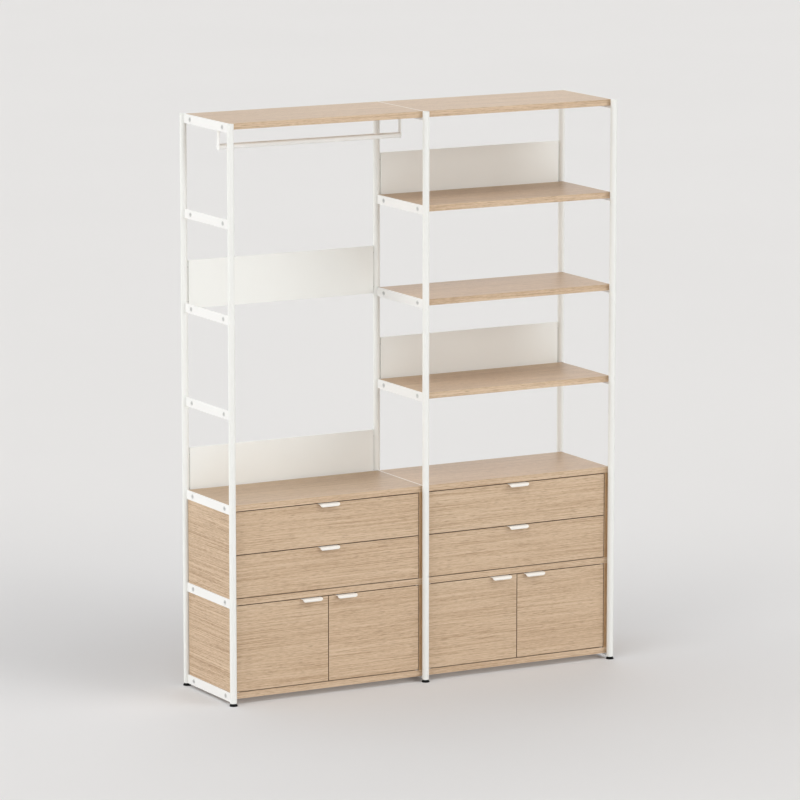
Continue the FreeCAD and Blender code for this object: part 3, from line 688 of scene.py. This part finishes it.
def insert_tree(material, sizes):
    """Threaded inserts along X: a plain sleeve, closed by a web in its middle."""
    tree, entry, result = new_tree("threaded_inserts", sizes)
    size = entry.outputs
    wall = math_node(tree, "SUBTRACT", size["Sleeve radius"], size["Thread radius"])
    middle = scaled(tree, math_node(tree, "ADD", size["Sleeve radius"], size["Thread radius"]), 0.5)
    section = rectangle(tree, wall, size["Sleeve length"])
    sleeve = add_node(tree, "GeometryNodeCurveToMesh",
                      {"Curve": circle(tree, 24, middle), "Profile Curve": section})
    web = add_node(tree, "GeometryNodeMeshCylinder",
                   {"Vertices": 24, "Radius": middle, "Depth": size["Web thickness"]})
    insert = joined(tree, (sleeve.outputs[0], web.outputs[0]))
    lying = turned(tree, insert, (0, math.pi / 2, 0))
    close_tree(tree, result, copies(tree, size["Geometry"], lying), material)
    return tree


def bolt_head_tree(material, sizes):
    """Flat round bolt heads with a hexagon recess. Each lies on its point and faces along the arrow."""
    tree, entry, result = new_tree("flat_bolt_heads", sizes)
    size = entry.outputs
    rim = circle(tree, 32, size["Head radius"])
    recess = circle(tree, 6, size["Recess radius"])
    head = plate_of(tree, (rim, recess), size["Head height"])
    heads = copies(tree, size["Geometry"], head, Rotation=along_arrows(tree))
    close_tree(tree, result, heads, material)
    return tree


# Shares of a screw head's own height and radius
SCREW_HEAD = {"skirt": 0.55, "crown": 0.45, "crown_radius": 0.72, "slot_length": 1.1, "slot_width": 0.26,
              "slot_depth": 1.1}


def screw_tree(material, sizes):
    """Pan head screws with a cross recess. Each stands on its point and its head faces along the arrow."""
    tree, entry, result = new_tree("pan_head_screws", sizes)
    size = entry.outputs
    radius, height = size["Head radius"], size["Head height"]

    def can(bottom_radius, top_radius, depth, low):
        cone = add_node(tree, "GeometryNodeMeshCone", {"Vertices": 24, "Radius Top": top_radius,
                                                       "Radius Bottom": bottom_radius, "Depth": depth})
        return shifted(tree, cone.outputs[0], vector(tree, Z=low))

    skirt_height = scaled(tree, height, SCREW_HEAD["skirt"])
    crown_height = scaled(tree, height, SCREW_HEAD["crown"])
    skirt = can(radius, radius, skirt_height, 0.0)
    crown = can(radius, scaled(tree, radius, SCREW_HEAD["crown_radius"]), crown_height, skirt_height)
    head = add_node(tree, "GeometryNodeMeshBoolean", operation="UNION", solver="EXACT")
    for part in (skirt, crown):
        tree.links.new(part, head.inputs["Mesh 2"])
    slot_size = vector(tree, X=scaled(tree, radius, SCREW_HEAD["slot_length"]),
                       Y=scaled(tree, radius, SCREW_HEAD["slot_width"]),
                       Z=scaled(tree, height, SCREW_HEAD["slot_depth"]))
    slot = add_node(tree, "GeometryNodeMeshCube", {"Size": slot_size})
    recess = add_node(tree, "GeometryNodeMeshBoolean", {"Mesh 1": head.outputs[0]},
                      operation="DIFFERENCE", solver="EXACT")
    for turn in (0.0, math.pi / 2):
        cutter = shifted(tree, turned(tree, slot.outputs[0], (0, 0, turn)), vector(tree, Z=height))
        tree.links.new(cutter, recess.inputs["Mesh 2"])
    length = size["Shank length"]
    shank = can(size["Shank radius"], size["Shank radius"], length, scaled(tree, length, -1.0))
    screw = joined(tree, (recess.outputs[0], shank))
    screws = copies(tree, size["Geometry"], screw, Rotation=along_arrows(tree))
    close_tree(tree, result, screws, material)
    return tree


# Pieces
def make_posts():
    """Round tubes with eased ends, two to a frame."""
    ease = EASE["tube"]
    inner = POST_RADIUS - POST_WALL
    height = POST_HEAD - POST_FOOT
    profile = [(0, inner), (0, POST_RADIUS - ease), (ease, POST_RADIUS), (height - ease, POST_RADIUS),
               (height, POST_RADIUS - ease), (height, inner), (0, inner)]
    for label, x in FRAME_LINES.items():
        parts = [(profile, (x, y, POST_FOOT), UP) for y in (-POST_LINE, POST_LINE)]
        piece = turned_piece(label + "_tubes", WHITE_STEEL, parts, segments=64)
        stand_for(piece, label + "_posts")


def make_crossbars():
    """Flat bars between each frame's posts, with open bolt holes."""
    sizes = {"Bar length": 2 * (POST_LINE - POST_RADIUS - WELD_GAP), "Bar height": BAR_HEIGHT,
             "Bar thickness": BAR_THICKNESS, "Hole radius": HOLE_RADIUS, "Hole spacing": 2 * BOLT_LINE,
             "Level pitch": LEVEL_PITCH, "Levels": LEVELS}
    tree = crossbar_tree(BAR_STEEL_PAINTED_LIGHT, sizes)
    for label, x in FRAME_LINES.items():
        piece = grown(label + "_bars", tree, sizes, [(x, 0, BOLT_HEIGHT)])
        form = bmesh.new()
        form.from_mesh(piece.data)
        join_flat_faces(form)
        form.to_mesh(piece.data)
        form.free()
        ease_edges(piece, EASE["bar"])
        stand_for(piece, label + "_crossbars")


def bolt_places(x, levels):
    """The middles of a frame's bolt holes at some of its levels."""
    return [(x, side * BOLT_LINE, BOLT_HEIGHT + number * LEVEL_PITCH)
            for number in levels for side in (-1, 1)]


def make_bolt_heads():
    """Flat heads over the bolts, on each frame's face that no board covers."""
    sizes = {"Head radius": 0.0082, "Head height": 0.0012, "Recess radius": 0.003}
    rows = ((-BAY, -1, range(LEVELS)), (0.0, -1, BARE_LEVELS), (BAY, 1, range(LEVELS)))
    places = []
    arrows = []
    for x, out, levels in rows:
        row = bolt_places(x + out * BAR_THICKNESS / 2, levels)
        places += row
        arrows += [(out, 0, 0)] * len(row)
    piece = grown("flat_bolt_heads", bolt_head_tree(NICKEL, sizes), sizes, places, arrows)
    ease_edges(piece, EASE["bolt_head"])
    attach(piece, "rack")


def make_inserts():
    """Inserts in the left frame's holes that carry no board."""
    sizes = {"Sleeve radius": HOLE_RADIUS - 0.0001, "Thread radius": 0.0042,
             "Sleeve length": BAR_THICKNESS - 0.0002, "Web thickness": 0.0012}
    piece = grown("threaded_inserts", insert_tree(NICKEL, sizes), sizes, bolt_places(-BAY, BARE_LEVELS))
    smooth_mesh(piece.data, ROUND_SHARP)
    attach(piece, "rack")


def make_welds():
    """Beads in the corners between each bar's faces and its two posts."""
    sizes = {"Bead radius": 0.001, "Bead length": BAR_HEIGHT - 0.004, "Sides": 12}
    across = BAR_THICKNESS / 2
    along = POST_LINE - math.sqrt(POST_RADIUS ** 2 - across ** 2)
    places = []
    for x in FRAME_LINES.values():
        for number in range(LEVELS):
            z = BOLT_HEIGHT + number * LEVEL_PITCH
            places += [(x + side * across, end * along, z) for side in (-1, 1) for end in (-1, 1)]
    piece = grown("crossbar_weld_beads", bead_tree(WHITE_STEEL, sizes), sizes, places)
    smooth_mesh(piece.data, ROUND_SHARP)
    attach(piece, "rack")


# The glide's and the cap's outlines: pairs of height and radius
GLIDE_PROFILE = [(0, 0), (0, 0.014), (0.0004, 0.0148), (0.0012, 0.015), (0.002, 0.0148), (0.0055, 0.013),
                 (0.0094, 0.0116), (POST_FOOT, 0.0113), (POST_FOOT, 0.0108), (0.028, 0.0108), (0.028, 0)]
CAP_PROFILE = [(0, 0), (0, 0.0108), (0.0072, 0.0108), (0.0078, 0.0102), (CAP_HEIGHT, 0.0095),
               (CAP_HEIGHT, 0.0085), (0.0074, 0.0078), (0.0074, 0)]


def make_feet():
    """Black moulded glides with a rolled rim, and white caps that close the posts."""
    feet = []
    caps = []
    for x in FRAME_LINES.values():
        for y in (-POST_LINE, POST_LINE):
            feet.append((GLIDE_PROFILE, (x, y, 0), UP))
            caps.append((CAP_PROFILE, (x, y, POST_HEAD - CAP_HEIGHT), UP))
    stand_for(turned_piece("moulded_glides", BLACK_PLASTIC, feet), "glide_feet")
    stand_for(turned_piece("moulded_caps", WHITE_PLASTIC, caps), "post_caps")


OAK_BOARDS = (
    "top_shelf_left", "top_shelf_right", "upper_shelf_right", "middle_shelf_right", "lower_shelf_right",
    "counter_left", "counter_right", "divider_board_left", "divider_board_right", "base_board_left",
    "base_board_right",
)
# How light the boards' veneer is: darker than the fronts', partly as painted shade on the tops. Two boards
# that lie in the back panels' shade are darker still, as painted shade.
BOARD_TONE = 0.96
BOARDS_IN_PAINTED_SHADE = {"counter_left": 0.88, "upper_shelf_right": 0.9}


def make_boards():
    """Oak boards with a slightly lighter edge band along the front. Their tops' veneer is darker and warmer
    than the band, partly as painted shade.
    """
    band = oak_veneer("board_edge_band", "X", seed=23, tone=1.08, warmth=-1.2)
    for number, node in enumerate(OAK_BOARDS):
        # Boards that lie in the back panels' shade get a darker tone: painted shade
        tone = BOARDS_IN_PAINTED_SHADE.get(node, BOARD_TONE)
        face = oak_veneer(node + "_oak", "X", seed=3 + number * 1.7, tone=tone, warmth=0.5, gloss=0.5)
        banded_node(node, "_banded", face, band, is_front, EASE["board"])


def make_cabinets():
    """Cabinet sides with their grain from front to back and a darker, redder edge band, partly painted shade
    where it shows beside the posts, and the thin backs.
    """
    for number, side in enumerate(HANDS):
        node = "cabinet_sides_" + side
        face = oak_veneer(node + "_oak", "Y", seed=31 + number * 2.3, tone=1.02, warmth=-0.9, depth=1.4)
        # The edge band is darker and redder partly as painted shade, for the shaded strip beside the posts
        band = oak_veneer(node + "_edge_band", "Z", seed=41 + number * 1.9, tone=0.9, warmth=3.6)
        banded_node(node, "_eased", face, band, is_front, EASE["cabinet_side"])
    eased_node("cabinet_backs", EASE["cabinet_back"], oak_veneer("cabinet_backs_oak", "X", seed=53))


def make_fronts():
    """Drawer fronts and doors, each with its own stretch of veneer and a dark band round its edges, painted
    shade that darkens the gaps between them.
    """
    # Painted shade: the fronts' edges are made dark so that the gaps between them look shaded
    band = oak_veneer("front_edge_painted_shade_band", "X", seed=91, tone=0.36, warmth=2.6, gloss=0.05)
    for bay_number, bay in enumerate(BAYS):
        fronts = [("%s_%s_drawer_front" % (bay, row), 61 + number * 2.7) for number, row in enumerate(ROWS)]
        fronts += [("%s_%s_door" % (bay, hand), 75 + number * 1.3) for number, hand in enumerate(HANDS)]
        for node, seed in fronts:
            face = oak_veneer(node + "_oak", "X", seed=seed + bay_number * 5, tone=1.05, warmth=-1.1)
            banded_node(node, "_banded", face, band, is_rim, EASE["front"])


CORNER_STEPS = 12
BEND_STEPS = 6


def pull_rows():
    """The pull's outer face from its lower edge to its seat: how far out, how high, and how much narrower."""
    reach, drop, radius, corner = (PULL[key] for key in ("reach", "drop", "bend", "corner"))

    def outward(height):
        if height <= -radius:
            return reach
        return reach - radius + math.sqrt(max(radius ** 2 - (height + radius) ** 2, 0))

    rows = []
    for index in range(CORNER_STEPS + 1):
        angle = math.pi / 2 * index / CORNER_STEPS
        height = -drop + corner * (1 - math.cos(angle))
        rows.append((outward(height), height, corner * (1 - math.sin(angle))))
    start = math.asin(min(1, (rows[-1][1] + radius) / radius))
    for index in range(1, BEND_STEPS + 1):
        angle = start + (math.pi / 2 - start) * index / BEND_STEPS
        rows.append((reach - radius + radius * math.cos(angle), -radius + radius * math.sin(angle), 0))
    return rows + [(PULL["ledge"], 0, 0), (-PULL["seat"], 0, 0)]


def make_pull(node):
    """One bent sheet: a strip of rows from the lip's edge to the seat, given its thickness inward."""
    low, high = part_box(node)
    front = high.y - PULL["seat"]
    form = bmesh.new()
    previous = None
    for out, height, inset in pull_rows():
        ends = [form.verts.new((x, front - out, high.z + height)) for x in (low.x + inset, high.x - inset)]
        if previous:
            form.faces.new((previous[0], previous[1], ends[1], ends[0]))
        previous = ends
    mesh = bpy.data.meshes.new(node + "_sheet")
    form.to_mesh(mesh)
    form.free()
    mesh.materials.append(PULL_STEEL)
    piece = new_piece(node + "_sheet", mesh)
    wall = piece.modifiers.new("sheet", "SOLIDIFY")
    wall.thickness = PULL["sheet"]
    wall.offset = -1
    wall.use_even_offset = True
    settle(piece)
    ease_edges(piece, EASE["pull"], segments=3)
    stand_for(piece, node)


def make_box(node):
    """A birch ply box with its layers showing on the rim."""
    piece = merged_copy(node, node + "_ply")
    low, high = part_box(node)
    inner_left, inner_right = low.x + BOX_WALL, high.x - BOX_WALL
    for material in (BIRCH, BIRCH_RIM_SIDES, BIRCH_RIM_ENDS):
        piece.data.materials.append(material)
    form = bmesh.new()
    form.from_mesh(piece.data)
    for x in (inner_left, inner_right):
        parts = form.verts[:] + form.edges[:] + form.faces[:]
        bmesh.ops.bisect_plane(form, geom=parts, dist=JOIN_DISTANCE, plane_co=(x, 0, 0), plane_no=(1, 0, 0))
    for face in form.faces:
        centre = face.calc_center_median()
        if face.normal.z > 0.9 and centre.z > high.z - 0.001:
            on_end_wall = inner_left < centre.x < inner_right
            face.material_index = 2 if on_end_wall else 1
    form.to_mesh(piece.data)
    form.free()
    ease_edges(piece, EASE["drawer_box"])
    stand_for(piece, node)


def make_drawers():
    """The drawers' boxes, the slides beside them, and all the pulls."""
    for bay in BAYS:
        for row in ROWS:
            prefix = "%s_%s_drawer" % (bay, row)
            make_box(prefix + "_box")
            eased_node(prefix + "_slides", EASE["slide"], ZINC)
            make_pull(prefix + "_pull")
        for hand in HANDS:
            make_pull("%s_%s_door_pull" % (bay, hand))


def make_panels():
    for side in HANDS:
        for row in ROWS:
            eased_node("%s_back_panel_%s" % (row, side), EASE["panel"], PANEL_STEEL_PAINTED_LIGHT)


def make_rail():
    """The hanging tube, closed by a flat plug at each end, on its two straps."""
    low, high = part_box("hanging_rail")
    radius = (high.z - low.z) / 2
    ease = EASE["rail"]
    length = high.x - low.x
    profile = [(0, 0), (0, radius - ease), (ease, radius), (length - ease, radius),
               (length, radius - ease), (length, 0)]
    start = (low.x, (low.y + high.y) / 2, (low.z + high.z) / 2)
    piece = turned_piece("hanging_tube", RAIL_STEEL_PAINTED_LIGHT, [(profile, start, (1, 0, 0))])
    stand_for(piece, "hanging_rail")
    eased_node("rail_brackets", EASE["bracket"], RAIL_STEEL_PAINTED_LIGHT)


def make_screws():
    """Cross-head screws in the back panels' ends and under the top shelf."""
    seat = POST_RADIUS + PANEL["end_gap"] + PANEL["sheet"]
    places = []
    arrows = []
    for start, levels in PANEL_LEVELS:
        for number in levels:
            foot = BOARD_UNDERSIDE + number * LEVEL_PITCH
            for z in (foot + PANEL["screw_margin"], foot + PANEL["height"] - PANEL["screw_margin"]):
                places += [(start + seat, POST_LINE, z), (start + BAY - seat, POST_LINE, z)]
                arrows += [(1, 0, 0), (-1, 0, 0)]
    low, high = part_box("rail_brackets")
    inset = (BRACKET["foot"] + BRACKET["sheet"]) / 2
    for x in (low.x + inset, high.x - inset):
        places.append((x, (low.y + high.y) / 2, high.z - BRACKET["sheet"]))
        arrows.append((0, 0, -1))
    sizes = {"Head radius": 0.003, "Head height": 0.002, "Shank radius": 0.0018, "Shank length": 0.012}
    piece = grown("cross_head_screws", screw_tree(ZINC, sizes), sizes, places, arrows)
    smooth_mesh(piece.data, SCREW_SHARP)
    stand_for(piece, "pan_head_screws")


def finish_small_nodes():
    """Nodes whose CAD shape is already right get their finish."""
    finishes = {"connecting_bolts": NICKEL, "pivot_bushes": WHITE_PLASTIC, "drawer_runners": ZINC}
    for bay in BAYS:
        for hand in HANDS:
            finishes["%s_%s_door_pivots" % (bay, hand)] = ZINC
    for node, material in finishes.items():
        for slot in frame["nodes"][node].material_slots:
            slot.material = material


FLOOR_REACH = 150.0
FLOOR_COLOURS = ((0.822, 0.809, 0.796), (0.832, 0.819, 0.806))
# A painted shadow on the floor round the wardrobe, darker and cooler near it: how dark, how far out, how far
# back its middle is, and the colour it darkens towards
FLOOR_PAINTED_SHADOW = {"depth": 0.11, "reach": 2.1, "back": 0.58, "colour": (0.0, 0.09, 0.25)}


def make_floor():
    """A plain pale floor that reaches past every view, with a wide soft painted shadow round the wardrobe."""
    material, tree, shader = new_material("studio_floor")
    cloud = noise(tree, object_place(tree), FLOOR_CLOUD, detail=2)
    colour = mix(tree, level(tree, cloud), *FLOOR_COLOURS)
    # Painted shadow: the floor's colour is darkened and cooled towards the middle near the wardrobe
    distance = tree.nodes.new("ShaderNodeVectorMath")
    distance.operation = "LENGTH"
    tree.links.new(object_place(tree, (0, -FLOOR_PAINTED_SHADOW["back"], 0)), distance.inputs[0])
    share = math_node(tree, "DIVIDE", distance.outputs["Value"], FLOOR_PAINTED_SHADOW["reach"])
    fall = scaled(tree, math_node(tree, "POWER", share, 2.0), -1.0)
    shade = scaled(tree, math_node(tree, "EXPONENT", fall), FLOOR_PAINTED_SHADOW["depth"])
    tree.links.new(mix(tree, shade, colour, FLOOR_PAINTED_SHADOW["colour"]), shader.inputs["Base Color"])
    set_input(shader, Roughness=0.9, Specular_IOR_Level=0.1)
    form = bmesh.new()
    corners = ((-1, -1), (1, -1), (1, 1), (-1, 1))
    form.faces.new([form.verts.new((x * FLOOR_REACH, y * FLOOR_REACH, 0)) for x, y in corners])
    mesh = bpy.data.meshes.new("studio_floor")
    form.to_mesh(mesh)
    form.free()
    mesh.materials.append(material)
    new_piece("studio_floor", mesh)


# The finishes, each with its two colours and its roughness
WHITE_STEEL = powder_coat("white_powder_coat", (0.874, 0.878, 0.846), (0.858, 0.862, 0.83))
# The back panels' coat is lighter than the frame's, partly as painted light to make up for the shade under
# the shelves
PANEL_STEEL_PAINTED_LIGHT = powder_coat("panel_powder_coat_painted_light", (0.918, 0.924, 0.889), (0.902, 0.908, 0.873), 0.5)
# Painted light: the crossbars get a lighter copy of the frame's white coat, for their brightly lit faces
BAR_STEEL_PAINTED_LIGHT = powder_coat("crossbar_powder_coat_painted_light", (0.9, 0.896, 0.872), (0.884, 0.88, 0.856))
# The rail and its straps are whiter than the frame, partly as painted light to make up for the shade under
# the top shelf
RAIL_STEEL_PAINTED_LIGHT = powder_coat("rail_powder_coat_painted_light", (0.95, 0.95, 0.925), (0.935, 0.935, 0.91), 0.38)
PULL_STEEL = powder_coat("pull_powder_coat", (0.89, 0.86, 0.8), (0.875, 0.845, 0.785), 0.5)
BLACK_PLASTIC = moulded_plastic("black_glide_plastic", (0.003, 0.003, 0.003), (0.006, 0.006, 0.006), 0.6,
                                gloss=0.15)
WHITE_PLASTIC = moulded_plastic("white_cap_plastic", (0.8, 0.79, 0.76), (0.77, 0.76, 0.73), 0.45)
ZINC = plated_steel("zinc_plated_steel", (0.56, 0.56, 0.55), (0.66, 0.66, 0.67), 0.38)
NICKEL = plated_steel("satin_nickel", (0.70, 0.705, 0.69), (0.76, 0.765, 0.75), 0.5)
BIRCH = birch_ply("birch_ply")
BIRCH_RIM_SIDES = birch_ply("birch_ply_rim_sides", "X")
BIRCH_RIM_ENDS = birch_ply("birch_ply_rim_ends", "Y")

set_camera()
set_lights()
make_floor()
make_posts()
make_crossbars()
make_bolt_heads()
make_inserts()
make_welds()
make_feet()
make_boards()
make_cabinets()
make_fronts()
make_drawers()
make_panels()
make_rail()
make_screws()
finish_small_nodes()
